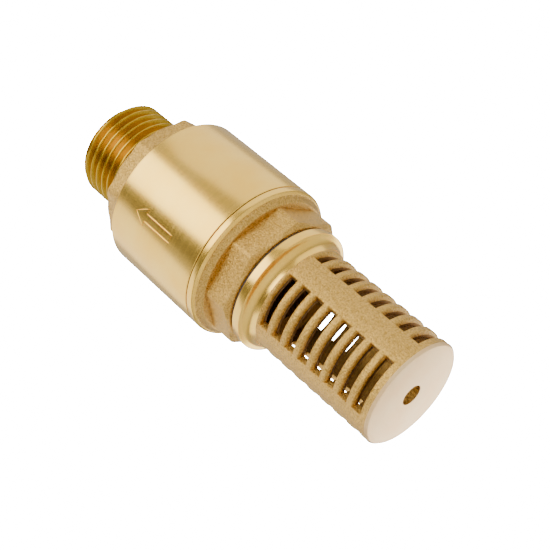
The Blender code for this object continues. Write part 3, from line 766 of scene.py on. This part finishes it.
# %% Floor
HALF_FLOOR, FLOOR_DROP = 3, -0.30
floor = loose_object("floor", [(-HALF_FLOOR, -HALF_FLOOR, FLOOR_DROP),
                               (HALF_FLOOR, -HALF_FLOOR, FLOOR_DROP),
                               (HALF_FLOOR, HALF_FLOOR, FLOOR_DROP),
                               (-HALF_FLOOR, HALF_FLOOR, FLOOR_DROP)], [(0, 1, 2, 3)])
pale, _, _, pale_shader = new_finish("pale_floor")
pale_shader.inputs["Base Color"].default_value = (0.86, 0.86, 0.86, 1.0)
pale_shader.inputs["Roughness"].default_value = 0.8
floor.data.materials.append(pale)
print("floor", 2 * HALF_FLOOR, "m wide")

# %% Surround helpers
world = bpy.data.worlds.new("studio")
bpy.context.scene.world = world
world.use_nodes = True
sky, sky_links = world.node_tree.nodes, world.node_tree.links
sky_direction = sky.new("ShaderNodeTexCoord").outputs["Generated"]


def toward(azimuth, elevation):
    a, e = math.radians(azimuth), math.radians(elevation)
    return Vector((math.cos(e) * math.cos(a), math.cos(e) * math.sin(a), math.sin(e)))


def sky_patch(azimuth, elevation, start, end, low, high, level=False):
    """A number that changes smoothly near one direction. A level patch is a whole upright strip."""
    source = sky_direction
    if level:
        flatten = sky.new("ShaderNodeVectorMath")
        flatten.operation = "MULTIPLY"
        flatten.inputs[1].default_value = (1.0, 1.0, 0.0)
        straight = sky.new("ShaderNodeVectorMath")
        straight.operation = "NORMALIZE"
        sky_links.new(source, flatten.inputs[0])
        sky_links.new(flatten.outputs[0], straight.inputs[0])
        source = straight.outputs[0]
    dot = sky.new("ShaderNodeVectorMath")
    dot.operation = "DOT_PRODUCT"
    dot.inputs[1].default_value = toward(azimuth, 0.0 if level else elevation)
    sky_links.new(source, dot.inputs[0])
    span = sky.new("ShaderNodeMapRange")
    span.interpolation_type = "SMOOTHSTEP"
    for socket, value in zip(("From Min", "From Max", "To Min", "To Max"), (start, end, low, high)):
        span.inputs[socket].default_value = value
    sky_links.new(dot.outputs["Value"], span.inputs["Value"])
    return span.outputs["Result"]


def times(first, second):
    made = sky.new("ShaderNodeMath")
    made.operation = "MULTIPLY"
    sky_links.new(first, made.inputs[0])
    sky_links.new(second, made.inputs[1])
    return made.outputs[0]


# %% Surround
BACKDROP_STRENGTH = 40.0
dark_strip = sky_patch(229.0, 0.0, 0.94, 0.98, 0.62, 0.22, level=True)
below = sky_patch(270.0, -60.0, 0.2, 0.9, 1.0, 0.7)
sky_links.new(times(dark_strip, below), sky["Background"].inputs["Strength"])
white = sky.new("ShaderNodeBackground")
white.inputs["Strength"].default_value = BACKDROP_STRENGTH
seen = sky.new("ShaderNodeLightPath")
choice = sky.new("ShaderNodeMixShader")
sky_links.new(seen.outputs["Is Camera Ray"], choice.inputs[0])
sky_links.new(sky["Background"].outputs[0], choice.inputs[1])
sky_links.new(white.outputs[0], choice.inputs[2])
sky_links.new(choice.outputs[0], sky["World Output"].inputs["Surface"])
sky["Background"].inputs["Color"].default_value = (1.0, 0.985, 0.965, 1.0)
print("surround", len(sky), "nodes")

# %% Lights
CENTRE = Vector((0.0, 0.0, -0.0479))


def soft_light(name, azimuth, elevation, distance, width, height, power):
    """An area light that looks at the valve's middle. Its power is in watts."""
    light = bpy.data.lights.new(name, "AREA")
    light.shape, light.size, light.size_y, light.energy = "RECTANGLE", width, height, power
    made = bpy.data.objects.new(name, light)
    bpy.context.scene.collection.objects.link(made)
    direction = toward(azimuth, elevation)
    made.location = CENTRE + direction * distance
    made.rotation_euler = direction.to_track_quat("Z", "Y").to_euler()
    print(name, tuple(round(v, 3) for v in made.location))


soft_light("front_light", 265.0, 32.0, 0.6, 0.42, 0.60, 3.2)
soft_light("left_light", 170.0, 26.0, 0.8, 0.8, 0.8, 3.0)
soft_light("right_light", 352.0, 26.0, 0.8, 1.1, 0.8, 2.8)
soft_light("low_light", 262.0, -62.0, 0.5, 0.30, 0.30, 0.7)
soft_light("end_light", 90.0, -22.0, 0.6, 0.6, 0.3, 2.0)

# %% [markdown]
# ## Camera
# It looks up at the strainer end from thirty degrees below, and is rolled so that the valve lies
# across the frame from corner to corner. The valve could be tilted instead, but then it would
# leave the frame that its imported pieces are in.

# %% Camera
camera_data = bpy.data.cameras.new("camera")
LENS, SENSOR, ELEVATION, ROLL, DISTANCE = 81.8, 36.0, -30.0, math.radians(49.44), 0.2369
AIM = CENTRE + Vector((0.00045, 0, 0))
camera_data.lens, camera_data.sensor_width = LENS, SENSOR
camera_data.clip_start = 0.01
camera = bpy.data.objects.new("camera", camera_data)
bpy.context.scene.collection.objects.link(camera)
back, side = toward(270.0, ELEVATION), Vector((1.0, 0.0, 0.0))
up = back.cross(side)
right = side * math.cos(ROLL) - up * math.sin(ROLL)
over = side * math.sin(ROLL) + up * math.cos(ROLL)
turn_matrix = Matrix((right, over, back)).transposed().to_4x4()
camera.matrix_world = Matrix.Translation(AIM + back * DISTANCE) @ turn_matrix
bpy.context.scene.camera = camera
print("camera", tuple(round(v, 4) for v in camera.matrix_world.translation))
